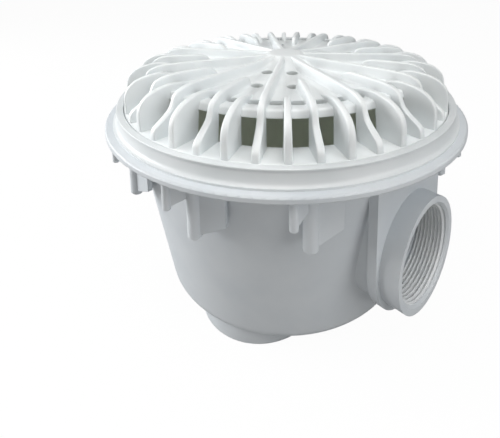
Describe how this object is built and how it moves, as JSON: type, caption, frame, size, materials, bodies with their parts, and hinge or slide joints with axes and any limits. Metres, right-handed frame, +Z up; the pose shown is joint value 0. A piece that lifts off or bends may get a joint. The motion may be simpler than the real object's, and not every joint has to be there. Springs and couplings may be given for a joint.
{
  "type": "pool main drain",
  "caption": "Pool main drain: a tapered moulded pot with threaded side and bottom ports, a frame ring and a domed anti-entrapment cover with radial ribs.",
  "frame": {"origin": "on the pot's axis, at the height of the bottom port's face, centre of the bounding box's bottom", "axes": "+Z up along the pot's axis towards the cover; +X out along the side port"},
  "size_m": [0.248, 0.248, 0.1625],
  "materials": {
    "abs_white": "satin moulded ABS, white",
    "stainless": "stainless steel screws",
    "brass": "turned brass",
    "epdm": "black EPDM"
  },
  "bodies": {
    "root": {"sump": "abs_white", "flange_gasket": "epdm", "frame_ring": "abs_white", "cover": "abs_white", "frame_screw_01": "stainless", "frame_screw_02": "stainless", "frame_screw_03": "stainless", "frame_screw_04": "stainless", "frame_screw_05": "stainless", "frame_screw_06": "stainless", "frame_screw_07": "stainless", "frame_screw_08": "stainless", "frame_screw_09": "stainless", "frame_screw_10": "stainless", "cover_screw_1": "stainless", "cover_insert_1": "brass", "cover_screw_2": "stainless", "cover_insert_2": "brass"}
  },
  "joints": []
}
